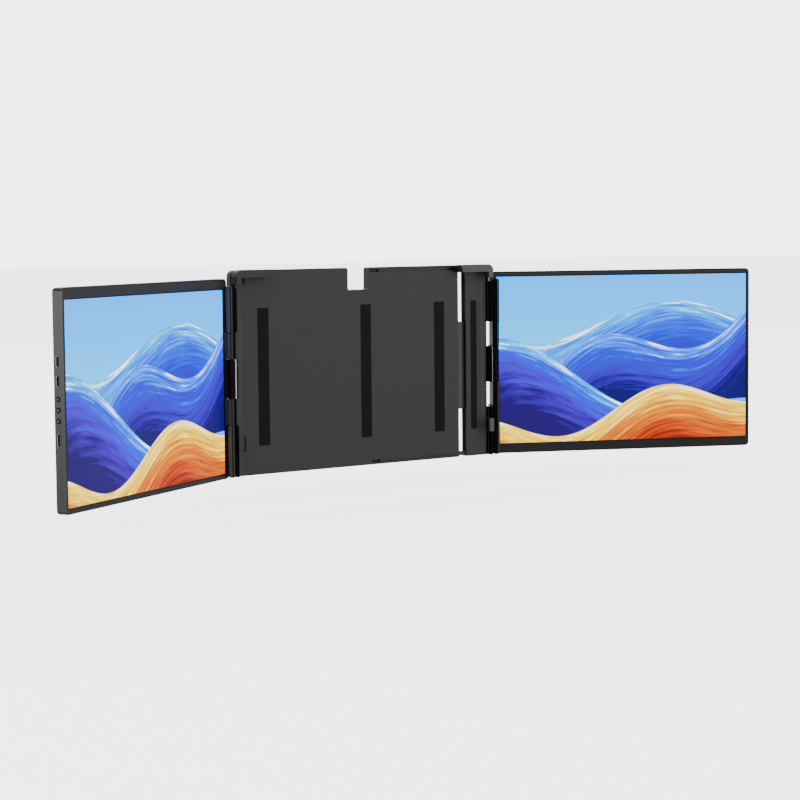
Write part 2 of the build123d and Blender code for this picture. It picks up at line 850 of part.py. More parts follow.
def height_plane(side, z):
    """A level plane with x out along the screen and y across it."""
    base = screen_plane(side)
    return Plane(origin=(axis_x[side], axis_depth, z), x_dir=base.x_dir, z_dir=(0, 0, 1))


def unit_rectangle():
    """The unit's outline before the hinge's cut-outs, in the open sketch."""
    with Locations((screen_middle, 0)):
        RectangleRounded(screen_width, screen_height, screen_corner)


def hinge_cuts(start, end, gap, mode=Mode.ADD):
    """The two stretches that the knuckles need, between two distances from the axis."""
    for sign in (-1, 1):
        rect(start, sign * (window_half - gap), end, sign * (knuckle_top + gap), mode)


def unit_outline(inset):
    """The unit's outline with its hinge cut-outs, drawn in by inset, in the open sketch."""
    unit_rectangle()
    hinge_cuts(screen_start - past, leaf_root, leaf_cut_gap, Mode.SUBTRACT)
    offset(amount=-inset, kind=Kind.INTERSECTION)


def make_rear_shell(side):
    base = screen_plane(side)
    face = face_depth[side]
    back = face + screen_thickness
    leaf_back = face + leaf_offset + leaf_thickness
    gap = leaf_slot_gap
    with BuildPart() as rear_shell:
        with BuildSketch(base.offset(face)):
            unit_rectangle()
        extrude(amount=screen_thickness)
        far = rear_shell.faces().sort_by(Axis(base.origin, base.z_dir))
        fillet(far[-1].edges(), shell_rounding)
        chamfer(far[0].edges(), shell_edge)
        with BuildSketch(base.offset(face)):
            hinge_cuts(screen_start - past, leaf_root, leaf_cut_gap)
        extrude(amount=screen_thickness, mode=Mode.SUBTRACT)
        with BuildSketch(base.offset(face)):
            unit_outline(rim_width)
        extrude(amount=bezel_drop + bezel_plate, mode=Mode.SUBTRACT)
        with BuildSketch(base.offset(face)):
            unit_outline(shell_wall)
        extrude(amount=screen_thickness - shell_back, mode=Mode.SUBTRACT)
        # bosses under the hinge leaf
        with BuildSketch(base.offset(leaf_back)):
            with Locations(*leaf_screw_places()):
                Circle(leaf_screw_head + leaf_boss_margin)
        extrude(amount=back - shell_back - leaf_back)
        with BuildSketch(base.offset(leaf_back)):
            with Locations(*leaf_screw_places()):
                Circle(leaf_screw_radius + press_clearance)
        extrude(amount=leaf_screw_bite + leaf_wall_gap, mode=Mode.SUBTRACT)
        # slots where the leaf comes out
        with BuildSketch(base.offset(face + leaf_offset - gap)):
            hinge_cuts(leaf_root - past, leaf_root + shell_wall + past, gap)
        extrude(amount=leaf_thickness + 2 * gap, mode=Mode.SUBTRACT)
        # port and button openings in the outer edge
        with BuildSketch(edge_plane(side, screen_end + past)):
            for height, size in port_places():
                with Locations((height, face + port_depth)):
                    SlotOverall(size[0] + 2 * port_gap, size[1] + 2 * port_gap)
            for height in button_heights:
                with Locations((height, face + port_depth)):
                    Circle(button_radius + button_hole_gap)
        extrude(amount=-(shell_wall + 2 * past), mode=Mode.SUBTRACT)
    return rear_shell.part


def port_places():
    """Each port's height above the unit's middle, with the size of its shell."""
    return [(height, usb_size) for height in usb_heights] + [(hdmi_height, hdmi_size)]


def make_front_bezel(side):
    with BuildPart() as front_bezel:
        with BuildSketch(screen_plane(side).offset(face_depth[side] + bezel_drop)):
            unit_outline(rim_width + bezel_gap)
            with Locations((display_centre, display_shift)):
                Rectangle(display_width, display_height, mode=Mode.SUBTRACT)
        extrude(amount=bezel_plate)
    return front_bezel.part


def make_layer(side, start, thickness):
    """A sheet of the display stack, start behind the screen's front face."""
    base = screen_plane(side)
    with BuildPart() as layer:
        with BuildSketch(base.offset(face_depth[side] + start)):
            with Locations((display_centre, display_shift)):
                Rectangle(display_width + 2 * panel_lap, display_height + 2 * panel_lap)
        extrude(amount=thickness)
    return layer.part


def make_driver_board(side):
    """The circuit board on the back wall, with the three switches that the buttons press."""
    base = screen_plane(side)
    board_face = face_depth[side] + screen_thickness - shell_back - board_thickness
    outer = screen_end - shell_wall - board_gap
    stem_end = screen_end - shell_wall - button_flange_gap - button_flange_thickness - stem_length
    switch_middle = stem_end - button_slack - button_travel - switch_length / 2
    with BuildPart() as driver_board:
        with BuildSketch(base.offset(board_face)):
            rect(outer - board_width, -board_height / 2, outer, board_height / 2)
        extrude(amount=board_thickness)
        with BuildSketch(base.offset(board_face - switch_height)):
            with Locations(*[(switch_middle, height) for height in button_heights]):
                Rectangle(switch_length, switch_width)
        extrude(amount=switch_height)
        with BuildSketch(base.offset(board_face - chip_thickness)):
            with Locations(*[(outer - chip_inset, height) for height in chip_heights]):
                Rectangle(chip_size, chip_size)
        extrude(amount=chip_thickness)
    return driver_board.part


def make_ports(side, places):
    """Connector shells on the board, open to the outside."""
    depth = face_depth[side] + port_depth
    start = screen_end - port_drop
    with BuildPart() as ports:
        with BuildSketch(edge_plane(side, start)):
            for height, size in places:
                with Locations((height, depth)):
                    SlotOverall(size[0], size[1])
        extrude(amount=-port_length)
        with BuildSketch(edge_plane(side, start)):
            for height, size in places:
                with Locations((height, depth)):
                    SlotOverall(size[0] - 2 * port_wall, size[1] - 2 * port_wall)
        extrude(amount=-(port_length - port_floor), mode=Mode.SUBTRACT)
        with BuildSketch(edge_plane(side, start - port_length + port_floor)):
            for height, size in places:
                with Locations((height, depth)):
                    Rectangle(size[0] - 2 * tongue_side_gap, tongue_thickness)
        extrude(amount=port_length - port_floor - tongue_drop)
    return ports.part


def make_button(side, height):
    place = (height, face_depth[side] + port_depth)
    flange_face = screen_end - shell_wall - button_flange_gap
    outwards = Axis(edge_plane(side, 0).origin, screen_plane(side).x_dir)
    with BuildPart() as button:
        with BuildSketch(edge_plane(side, flange_face)):
            with Locations(place):
                Circle(button_radius)
        extrude(amount=screen_end + button_proud - flange_face)
        fillet(button.edges().sort_by(outwards)[-1], button_rounding)
        with BuildSketch(edge_plane(side, flange_face)):
            with Locations(place):
                Rectangle(2 * button_flange, 2 * button_flange_half)
        extrude(amount=-button_flange_thickness)
        with BuildSketch(edge_plane(side, flange_face - button_flange_thickness)):
            with Locations(place):
                Circle(button_stem_radius)
        extrude(amount=-stem_length)
    return button.part


def leaf_screw_places():
    """The leaf's screws, as distance out and height."""
    xs = (leaf_root + leaf_screw_inset, leaf_root + leaf_length - leaf_screw_inset / 2)
    zs = (knuckle_top - leaf_screw_inset, leaf_screw_inset - knuckle_top)
    return [(x, z) for x in xs for z in zs]


def make_hinge_leaf(side):
    """Two knuckles and their necks, joined by the plate inside the screen."""
    base = screen_plane(side)
    start = face_depth[side] + leaf_offset
    middle = start + leaf_thickness / 2
    elbow = leaf_root - neck_thickness / 2 - neck_gap
    length = sqrt(elbow ** 2 + middle ** 2)
    lean = degrees(atan2(side * middle, elbow))
    groove = side * (groove_turn + degrees(rest_angle[side]) - 90)
    with BuildPart() as hinge_leaf:
        for z0 in (window_half, -knuckle_top):
            with BuildSketch(height_plane(side, z0)):
                Circle(knuckle_radius)
                with Locations(Location((elbow / 2, side * middle / 2, 0), (0, 0, lean))):
                    Rectangle(length, neck_thickness)
                with Locations((elbow, side * middle)):
                    Circle(neck_thickness / 2)
                rect(elbow, side * start, leaf_root + past, side * (start + leaf_thickness))
                Circle(pin_radius + pin_clearance, mode=Mode.SUBTRACT)
                with Locations(Location((0, 0, 0), (0, 0, groove))):
                    with Locations((knuckle_radius, 0)):
                        Rectangle(2 * groove_depth, groove_width, mode=Mode.SUBTRACT)
            extrude(amount=knuckle_length)
        with BuildSketch(base.offset(start)):
            hinge_cuts(leaf_root, leaf_root + shell_wall + past, 0)
            rect(leaf_root + shell_wall + leaf_wall_gap, -knuckle_top, leaf_root + leaf_length, knuckle_top)
            with Locations(*leaf_screw_places()):
                Circle(leaf_screw_radius + pin_clearance, mode=Mode.SUBTRACT)
        extrude(amount=leaf_thickness)
    return hinge_leaf.part


def make_leaf_screws(side):
    base = screen_plane(side)
    start = face_depth[side] + leaf_offset
    with BuildPart() as leaf_screws:
        with BuildSketch(base.offset(start - leaf_screw_head_thickness)):
            with Locations(*leaf_screw_places()):
                Circle(leaf_screw_head)
        extrude(amount=leaf_screw_head_thickness)
        with BuildSketch(base.offset(start)):
            with Locations(*leaf_screw_places()):
                Circle(leaf_screw_radius)
        extrude(amount=leaf_thickness + leaf_screw_bite)
    return leaf_screws.part


# ---------------------------------------------------------------- everything
def save_bracket():
    keep(make_bracket_front(), "bracket_front")
    keep(make_bracket_rear(), "bracket_rear")
    keep(make_screws(boss_places()), "bracket_screws")
    keep(make_seat_pads(), "lid_seat_pads")
    keep(make_guide_rails(), "guide_rails")
    keep(make_stop_screw(), "slide_stop_screw")


def save_arm():
    keep(make_slide_plate(), "slide_plate")
    keep(make_slide_bars(), "slide_bars")
    keep(make_arm_shell(), "arm_shell")
    keep(make_arm_cover(), "arm_cover")
    keep(make_screws(arm_screw_places()), "arm_screws")
    keep(make_arm_pad(), "arm_seat_pad")


def save_side(side):
    name = side_name[side]
    keep(make_hinge_frame(side), f"{name}_hinge_frame")
    keep(make_hinge_core(side), f"{name}_hinge_core")
    keep(make_window_trim(side), f"{name}_window_trim")
    keep(make_hinge_pins(side), f"{name}_hinge_pins")
    keep(make_hinge_washers(side), f"{name}_hinge_washers")
    keep(make_corner_block(side), f"{name}_corner_block")
    keep(make_corner_liner(side), f"{name}_corner_liner")
    keep(make_hook_pad(side), f"{name}_hook_pad")
    keep(make_lower_clip(side), f"{name}_lower_clip")
    keep(make_clip_pad(side), f"{name}_clip_pad")


def save_stand():
    keep(make_stand_leg(), "stand_leg")
    keep(make_stand_insert(), "stand_insert")
    keep(make_stand_foot(), "stand_foot")
    keep(make_stand_pin(), "stand_pin")


def save_screen(side):
    name = side_name[side]
    panel_start = bezel_drop + bezel_plate
    keep(make_rear_shell(side), f"{name}_rear_shell")
    keep(make_front_bezel(side), f"{name}_front_bezel")
    keep(make_layer(side, panel_start, panel_thickness), f"{name}_display_panel")
    keep(make_layer(side, panel_start + panel_thickness, backlight_thickness), f"{name}_backlight")
    keep(make_driver_board(side), f"{name}_driver_board")
    keep(make_ports(side, [(height, usb_size) for height in usb_heights]), f"{name}_usb_ports")
    keep(make_ports(side, [(hdmi_height, hdmi_size)]), f"{name}_hdmi_port")
    keep(make_hinge_leaf(side), f"{name}_hinge_leaf")
    keep(make_leaf_screws(side), f"{name}_leaf_screws")
    for number, height in enumerate(button_heights, start=1):
        keep(make_button(side, height), f"{name}_button_{number}")


save_bracket()
save_arm()
save_stand()
for side in (LEFT, RIGHT):
    save_side(side)
    save_screen(side)
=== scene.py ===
"""Finishes, screws and studio for a clip-on extender that adds two screens to a laptop."""

from math import cos, pi, radians, sin

import bpy
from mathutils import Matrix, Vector


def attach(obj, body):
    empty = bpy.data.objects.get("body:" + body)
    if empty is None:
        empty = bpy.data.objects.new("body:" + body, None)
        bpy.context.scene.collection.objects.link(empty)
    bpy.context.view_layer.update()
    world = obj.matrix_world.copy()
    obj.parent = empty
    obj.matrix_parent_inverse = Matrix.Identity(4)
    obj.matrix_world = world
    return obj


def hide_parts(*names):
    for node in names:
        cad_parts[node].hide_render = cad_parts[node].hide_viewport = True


MM = 0.001

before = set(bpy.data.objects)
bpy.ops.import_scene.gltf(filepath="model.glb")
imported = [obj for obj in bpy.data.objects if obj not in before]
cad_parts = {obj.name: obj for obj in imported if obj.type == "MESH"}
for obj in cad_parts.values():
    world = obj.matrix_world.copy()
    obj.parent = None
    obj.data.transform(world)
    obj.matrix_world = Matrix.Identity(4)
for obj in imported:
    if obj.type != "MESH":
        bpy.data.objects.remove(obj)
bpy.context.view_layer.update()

# ---------------------------------------------------------------- sizes the finishes follow
# The hinges' upright axes, outwards from the middle and in front of the lid's plane.
HINGE_X = 159.55 * MM
HINGE_Y = -4.6 * MM

# Each screen's swing at rest, and how far its front face lies behind the hinge's axis.
SIDES = {
    "left": {"sign": -1, "angle": radians(29.5), "face": 4.3 * MM},
    "right": {"sign": 1, "angle": radians(24.3), "face": 15.0 * MM},
}

# One screen, outwards from the hinge's axis. Its display sits off the middle of its height.
SCREEN_START = -2.3 * MM
SCREEN_END = SCREEN_START + 281.95 * MM
SCREEN_HEIGHT = 186.8 * MM
THIN_BEZEL = 7.15 * MM
DISPLAY_WIDTH = 271.4 * MM
DISPLAY_HEIGHT = 171.4 * MM
DISPLAY_CENTRE = SCREEN_START + THIN_BEZEL + DISPLAY_WIDTH / 2
DISPLAY_DROP = 2.4 * MM

# The screen's outer edge: ports and buttons, behind its front face.
EDGE_DEPTH = 5.7 * MM
PORT_LIP = SCREEN_END - 0.1 * MM
BUTTON_TOP = 2.0 * MM
BUTTON_PITCH = 9.0 * MM
# How far the buttons' painted highlight sits off their middle, towards the rear.
PAINTED_GLINT_SHIFT = 0.4 * MM

# Where painted shade in black takes over from the paint, outwards from the middle: the hooks'
# sides, the barrels' inner sides, the line down the barrels and the wall behind the hinge's gaps.
HOOK_SIDE = 153.6 * MM
HOOK_TOP = 95.0 * MM
LIP_SIDE = 158.9 * MM
LINE_SIDE = 160.75 * MM
WALL_SIDE = 150.2 * MM

# Surface detail: the radius of softened corners and the depth of moulded grain.
CORNER = 0.3 * MM
GRAIN_DEPTH = 0.03 * MM


def srgb(code):
    """A hex colour as linear RGBA."""
    values = [int(code[i:i + 2], 16) / 255 for i in (0, 2, 4)]
    linear = [v / 12.92 if v <= 0.04045 else ((v + 0.055) / 1.055) ** 2.4 for v in values]
    return (*linear, 1.0)


# ---------------------------------------------------------------- node helpers
FLOAT, COLOUR, VECTOR = "NodeSocketFloat", "NodeSocketColor", "NodeSocketVector"


class Sheet:
    """Short calls for laying out one node tree."""

    def __init__(self, tree):
        self.tree = tree

    def node(self, kind, **settings):
        made = self.tree.nodes.new(kind)
        for key, value in settings.items():
            setattr(made, key, value)
        return made

    def feed(self, socket, value):
        """Links a socket, or sets its value."""
        if isinstance(value, bpy.types.NodeSocket):
            self.tree.links.new(value, socket)
        else:
            socket.default_value = value

    def math(self, operation, *values, clamp=False):
        made = self.node("ShaderNodeMath", operation=operation, use_clamp=clamp)
        for socket, value in zip(made.inputs, values):
            self.feed(socket, value)
        return made.outputs[0]

    def ramp_up(self, value, low, high):
        """0 at low and 1 at high, with a soft step between; low may be the larger."""
        made = self.node("ShaderNodeMapRange", interpolation_type="SMOOTHSTEP")
        self.feed(made.inputs["Value"], value)
        self.feed(made.inputs["From Min"], low)
        self.feed(made.inputs["From Max"], high)
        return made.outputs["Result"]

    def rescale(self, value, low, high):
        """Turns 0..1 into low..high."""
        made = self.node("ShaderNodeMapRange", clamp=False)
        self.feed(made.inputs["Value"], value)
        self.feed(made.inputs["To Min"], low)
        self.feed(made.inputs["To Max"], high)
        return made.outputs["Result"]

    def mix(self, factor, one, two):
        made = self.node("ShaderNodeMix", data_type="RGBA", blend_type="MIX")
        self.feed(made.inputs[0], factor)
        self.feed(made.inputs[6], one)
        self.feed(made.inputs[7], two)
        return made.outputs[2]

    def noise(self, place, scale, detail=2.0, rough=0.5):
        made = self.node("ShaderNodeTexNoise")
        self.feed(made.inputs["Vector"], place)
        self.feed(made.inputs["Scale"], scale)
        self.feed(made.inputs["Detail"], detail)
        self.feed(made.inputs["Roughness"], rough)
        return made.outputs["Fac"]

    def colours(self, value, stops):
        """A colour ramp; each stop is a position and a hex colour."""
        made = self.node("ShaderNodeValToRGB")
        points = made.color_ramp.elements
        while len(points) < len(stops):
            points.new(0.5)
        for point, (where, code) in zip(points, stops):
            point.position = where
            point.color = srgb(code)
        self.feed(made.inputs[0], value)
        return made.outputs[0]

    def toned(self, tone, colour):
        """The colour made lighter and darker by a tone near 1."""
        made = self.node("ShaderNodeVectorMath", operation="SCALE")
        linked = isinstance(colour, bpy.types.NodeSocket)
        self.feed(made.inputs[0], colour if linked else colour[:3])
        self.feed(made.inputs["Scale"], tone)
        return made.outputs[0]

    def bump(self, height, strength, distance, normal=None):
        made = self.node("ShaderNodeBump")
        made.inputs["Strength"].default_value = strength
        made.inputs["Distance"].default_value = distance
        self.feed(made.inputs["Height"], height)
        if normal is not None:
            self.feed(made.inputs["Normal"], normal)
        return made.outputs[0]

    def place(self, turn=(0, 0, 0), shift=(0, 0, 0), scale=(1, 1, 1)):
        """Object coordinates, turned, scaled and then shifted."""
        source = self.node("ShaderNodeTexCoord").outputs["Object"]
        made = self.node("ShaderNodeMapping")
        self.feed(made.inputs["Vector"], source)
        made.inputs["Rotation"].default_value = turn
        made.inputs["Location"].default_value = shift
        made.inputs["Scale"].default_value = scale
        return made.outputs[0]

    def split(self, vector):
        made = self.node("ShaderNodeSeparateXYZ")
        self.feed(made.inputs[0], vector)
        return made.outputs

    def join(self, x, y, z):
        made = self.node("ShaderNodeCombineXYZ")
        for socket, value in zip(made.inputs, (x, y, z)):
            self.feed(socket, value)
        return made.outputs[0]

    def use(self, tree, **given):
        """A node group in this tree; gives its outputs."""
        made = self.node("ShaderNodeGroup")
        made.node_tree = tree
        for key, value in given.items():
            self.feed(made.inputs[key], value)
        return made.outputs


def group(name, inputs, outputs, fill):
    """A shader group with named sockets; fill gets the sheet and both ends."""
    tree = bpy.data.node_groups.new(name, "ShaderNodeTree")
    for label, kind, value in inputs:
        socket = tree.interface.new_socket(label, in_out="INPUT", socket_type=kind)
        socket.default_value = value
    for label, kind in outputs:
        tree.interface.new_socket(label, in_out="OUTPUT", socket_type=kind)
    ends = [tree.nodes.new("NodeGroupInput"), tree.nodes.new("NodeGroupOutput")]
    fill(Sheet(tree), ends[0].outputs, ends[1].inputs)
    return tree


def fill_moulding(sheet, given, result):
    """The fine spark-eroded grain of moulded plastic, with slow drifts in tone."""
    place = sheet.place()
    fine = sheet.noise(place, scale=given["Grain"], detail=3.0, rough=0.65)
    slow = sheet.noise(place, scale=38.0, detail=3.0, rough=0.6)
    speck = sheet.noise(place, scale=420.0)
    tone = sheet.math("ADD", sheet.rescale(slow, -0.5, 0.5), sheet.rescale(speck, -0.35, 0.35))
    sheet.feed(result["Tone"], sheet.math("MULTIPLY_ADD", tone, given["Drift"], 1.0))
    sheet.feed(result["Height"], fine)
    sheet.feed(result["Smudge"], sheet.noise(place, scale=14.0, detail=4.0, rough=0.62))


moulding = group(
    "moulded_grain",
    [("Grain", FLOAT, 1500.0), ("Drift", FLOAT, 0.15)],
    [("Tone", FLOAT), ("Height", FLOAT), ("Smudge", FLOAT)],
    fill_moulding,
)


def fill_edges(sheet, given, result):
    """Softened corners, and where they are, for rubbed edges and for painted highlights on edges.
    """
    bevel = sheet.node("ShaderNodeBevel", samples=6)
    sheet.feed(bevel.inputs["Radius"], given["Radius"])
    true = sheet.node("ShaderNodeNewGeometry").outputs["Normal"]
    dot = sheet.node("ShaderNodeVectorMath", operation="DOT_PRODUCT")
    sheet.feed(dot.inputs[0], bevel.outputs[0])
    sheet.feed(dot.inputs[1], true)
    away = sheet.math("SUBTRACT", 1.0, dot.outputs["Value"])
    sheet.feed(result["Edge"], sheet.ramp_up(away, 0.015, 0.2))
    sheet.feed(result["Normal"], bevel.outputs[0])


edges = group(
    "edge_wear_and_highlight",
    [("Radius", FLOAT, CORNER)],
    [("Edge", FLOAT), ("Normal", VECTOR)],
    fill_edges,
)


def fill_brushing(sheet, given, result):
    """Fine parallel scratches along one axis, and broad stains."""
    place = sheet.node("ShaderNodeTexCoord").outputs["Object"]
    stretch = sheet.node("ShaderNodeVectorMath", operation="MULTIPLY")
    sheet.feed(stretch.inputs[0], place)
    sheet.feed(stretch.inputs[1], given["Stretch"])
    lines = sheet.noise(stretch.outputs[0], scale=60.0, detail=4.0, rough=0.7)
    broad = sheet.noise(place, scale=55.0)
    sheet.feed(result["Lines"], lines)
    sheet.feed(result["Stain"], broad)


brushing = group(
    "brushed_lines",
    [("Stretch", VECTOR, (30.0, 30.0, 1.0))],
    [("Lines", FLOAT), ("Stain", FLOAT)],
    fill_brushing,
)


# ---------------------------------------------------------------- material helpers
def start_material(name):
    """A material with one Principled shader, its sheet and the shader's inputs."""
    made = bpy.data.materials.new(name)
    made.use_nodes = True
    made.node_tree.nodes.clear()
    sheet = Sheet(made.node_tree)
    shader = sheet.node("ShaderNodeBsdfPrincipled")
    out = sheet.node("ShaderNodeOutputMaterial")
    made.node_tree.links.new(shader.outputs[0], out.inputs[0])
    return made, sheet, shader.inputs


def screen_place(sheet, side):
    """Along the screen from its hinge, depth behind the hinge, and height."""
    sign = SIDES[side]["sign"]
    turn = sign * SIDES[side]["angle"]
    shift_x = -(cos(turn) * sign * HINGE_X - sin(turn) * HINGE_Y)
    shift_y = -(sin(turn) * sign * HINGE_X + cos(turn) * HINGE_Y)
    x, y, z = sheet.split(sheet.place((0, 0, turn), (shift_x, shift_y, 0)))
    along = sheet.math("MULTIPLY", x, float(sign))
    return along, y, z


def worn_mask(sheet, edged, grained, wear=0.5):
    """Where corners are rubbed, more in some places than in others."""
    patches = sheet.rescale(grained["Smudge"], wear * 0.4, wear * 1.6)
    return sheet.math("MULTIPLY", edged["Edge"], patches, clamp=True)


def painted_top_light(sheet, height, low_code, high_code):
    """Painted light from above: a colour that changes from the screen's lower edge to its upper
    one.
    """
    rise = sheet.ramp_up(height, -SCREEN_HEIGHT / 2, SCREEN_HEIGHT / 2)
    return sheet.mix(rise, srgb(low_code), srgb(high_code))


def lay_on(sheet, shader, grained, base, rough, relief=None, normal=None, gloss=None):
    """Colour with drifts, a roughness range, the grain's strength and depth, and the gloss."""
    sheet.feed(shader["Base Color"], sheet.toned(grained["Tone"], base))
    sheet.feed(shader["Roughness"], sheet.rescale(grained["Smudge"], *rough))
    if relief is not None:
        strength, depth = relief
        sheet.feed(shader["Normal"], sheet.bump(grained["Height"], strength, depth, normal))
    if gloss is not None:
        sheet.feed(shader["Specular IOR Level"], gloss)


def plastic(name, colour, edge_colour, rough=0.42, grain=1500.0, wear=0.5, gloss=0.22):
    """Moulded or powder-coated surface with grain, drift and softened edges."""
    made, sheet, shader = start_material(name)
    grained = sheet.use(moulding, Grain=grain, Drift=0.12)
    edged = sheet.use(edges, Radius=CORNER)
    base = sheet.mix(worn_mask(sheet, edged, grained, wear), srgb(colour), srgb(edge_colour))
    spread = (rough - 0.07, rough + 0.09)
    lay_on(sheet, shader, grained, base, spread, (0.35, GRAIN_DEPTH), edged["Normal"], gloss)
    return made


def metal(name, colour, rough=0.3, stretch=(30.0, 30.0, 1.0), bare=1.0):
    """Drawn metal with fine lines and faint stains."""
    made, sheet, shader = start_material(name)
    lined = sheet.use(brushing, Stretch=stretch)
    edged = sheet.use(edges, Radius=0.5 * CORNER)
    tone = sheet.rescale(lined["Stain"], 0.88, 1.12)
    sheet.feed(shader["Base Color"], sheet.toned(tone, srgb(colour)))
    shader["Metallic"].default_value = bare
    sheet.feed(shader["Roughness"], sheet.rescale(lined["Lines"], rough - 0.1, rough + 0.12))
    sheet.feed(shader["Normal"], sheet.bump(lined["Lines"], 0.2, 0.01 * MM, edged["Normal"]))
    return made


# ---------------------------------------------------------------- finishes
bracket_paint = plastic("bracket_paint", "272728", "4a4a4c")
clip_rubber = plastic("clip_rubber", "0b0b0b", "1a1a1a", 0.62, grain=2600.0, wear=0.3, gloss=0.08)
core_black = plastic("core_black", "060606", "101010", 0.55, grain=2200.0, wear=0.2, gloss=0.05)
channel_steel = metal("channel_steel", "3b3b3c", 0.42, stretch=(1.0, 30.0, 30.0))
glide_nylon = plastic("glide_nylon", "b9b7ae", "cfcdc6", 0.45)
light_guide = plastic("light_guide", "e6e6e2", "f2f2f0", 0.35)
plate_steel = metal("plate_steel", "48484a", 0.38)
bright_steel = metal("bright_steel", "b9babd", 0.28)
washer_black = metal("washer_black", "1e1e1e", 0.34)
# The window's metal trim is made near white so that it shows a painted highlight along the
# opening's edge.
trim_painted_highlight = metal("trim_painted_highlight", "e2e2e0", stretch=(1.0, 1.0, 40.0), bare=0.2)


def block_finish():
    """Mottled paint on the fingers and clips, painted lighter on the right, painted shade down
    their outer sides.
    """
    made, sheet, shader = start_material("block_paint")
    x, _, z = sheet.split(sheet.place())
    grained = sheet.use(moulding, Grain=1400.0, Drift=0.24)
    edged = sheet.use(edges, Radius=CORNER)
    # The right-hand fingers and clips are painted lighter than the left: painted light.
    coat_with_painted_light = sheet.mix(sheet.ramp_up(x, -MM, MM), srgb("2d2d2e"), srgb("454547"))
    painted = sheet.mix(worn_mask(sheet, edged, grained), coat_with_painted_light, srgb("5f5f62"))
    # Black down the hooks' outer sides, below their tops: painted shade. bare carries this painted
    # shade.
    beside = sheet.ramp_up(sheet.math("ABSOLUTE", x), HOOK_SIDE, HOOK_SIDE + 0.3 * MM)
    below = sheet.ramp_up(z, HOOK_TOP + 0.4 * MM, HOOK_TOP)
    bare = sheet.math("MULTIPLY", sheet.math("MULTIPLY", beside, below), 0.97)
    base = sheet.mix(bare, painted, srgb("040404"))
    relief = (0.4, 0.04 * MM)
    lay_on(sheet, shader, grained, base, (0.34, 0.5), relief, edged["Normal"], gloss=0.12)
    return made


def hinge_finish(name, colour, drift):
    """Hinge paint with painted shade: a dark line down the barrel, black on its inner side and
    behind gaps.
    """
    made, sheet, shader = start_material(name)
    x, y, _ = sheet.split(sheet.place())
    aside = sheet.math("ABSOLUTE", x)
    grained = sheet.use(moulding, Grain=1500.0, Drift=drift)
    edged = sheet.use(edges, Radius=CORNER)
    painted = sheet.mix(worn_mask(sheet, edged, grained), srgb(colour), srgb("6a6a64"))

    # The dark line down the barrel is painted shade.
    line = sheet.math(
        "MULTIPLY",
        sheet.ramp_up(aside, LINE_SIDE - 0.9 * MM, LINE_SIDE - 0.5 * MM),
        sheet.ramp_up(aside, LINE_SIDE + 0.9 * MM, LINE_SIDE + 0.5 * MM),
    )
    line = sheet.math("MULTIPLY", line, sheet.ramp_up(y, -6.4 * MM, -7.0 * MM))
    # Black on the barrel's inner side, in front of the lid's plane, is painted shade.
    lip = sheet.math(
        "MULTIPLY",
        sheet.ramp_up(aside, LIP_SIDE + 0.3 * MM, LIP_SIDE),
        sheet.ramp_up(y, -1.2 * MM, -1.8 * MM),
    )
    # Black on the wall behind the hinge's gaps is painted shade between parts.
    wall = sheet.math(
        "MULTIPLY",
        sheet.ramp_up(aside, WALL_SIDE, WALL_SIDE + 0.3 * MM),
        sheet.ramp_up(y, -1.2 * MM, -0.8 * MM),
    )
    wall = sheet.math("MULTIPLY", wall, sheet.ramp_up(y, 3.0 * MM, 2.6 * MM))
    # bare gathers all of this painted shade.
    bare = sheet.math("MAXIMUM", lip, wall)
    bare = sheet.math("MAXIMUM", sheet.math("MULTIPLY", line, 0.8), bare)

    base = sheet.mix(sheet.math("MULTIPLY", bare, 0.97), painted, srgb("040404"))
    gloss = sheet.rescale(bare, 0.12, 0.02)
    relief = (0.35, GRAIN_DEPTH)
    lay_on(sheet, shader, grained, base, (0.33, 0.49), relief, edged["Normal"], gloss)
    return made


def shell_finish(side):
    """Satin shell painted lighter to the top, black painted reflection in the rounded ends, black
    along the front rim, painted highlight on corners.
    """
    made, sheet, shader = start_material(f"{side}_shell_paint")
    _, depth, height = screen_place(sheet, side)
    face = SIDES[side]["face"]
    grained = sheet.use(moulding, Grain=1700.0, Drift=0.1)
    edged = sheet.use(edges, Radius=0.35 * MM)
    # Lighter towards the top: painted light from above.
    coat_with_painted_light = painted_top_light(sheet, height, "333334", "4b4b4c")
    # The corners are lightened as a painted highlight.
    painted_edge_highlight = sheet.math("MULTIPLY", edged["Edge"], 0.55)
    body = sheet.mix(painted_edge_highlight, coat_with_painted_light, srgb("86868a"))
    # The rounded ends are painted near black as a painted dark reflection.
    up = sheet.math("ABSOLUTE", height)
    cap = sheet.ramp_up(up, SCREEN_HEIGHT / 2 - 3.0 * MM, SCREEN_HEIGHT / 2 - 2.5 * MM)
    base = sheet.mix(sheet.math("MULTIPLY", cap, 0.93), body, srgb("0a0a0a"))
    in_front = sheet.ramp_up(depth, face + 0.02 * MM, face - 0.02 * MM)
    base = sheet.mix(sheet.math("MULTIPLY", in_front, 0.9), base, srgb("060606"))
    relief = (0.3, GRAIN_DEPTH)
    lay_on(sheet, shader, grained, base, (0.3, 0.46), relief, edged["Normal"], gloss=0.25)
    return made


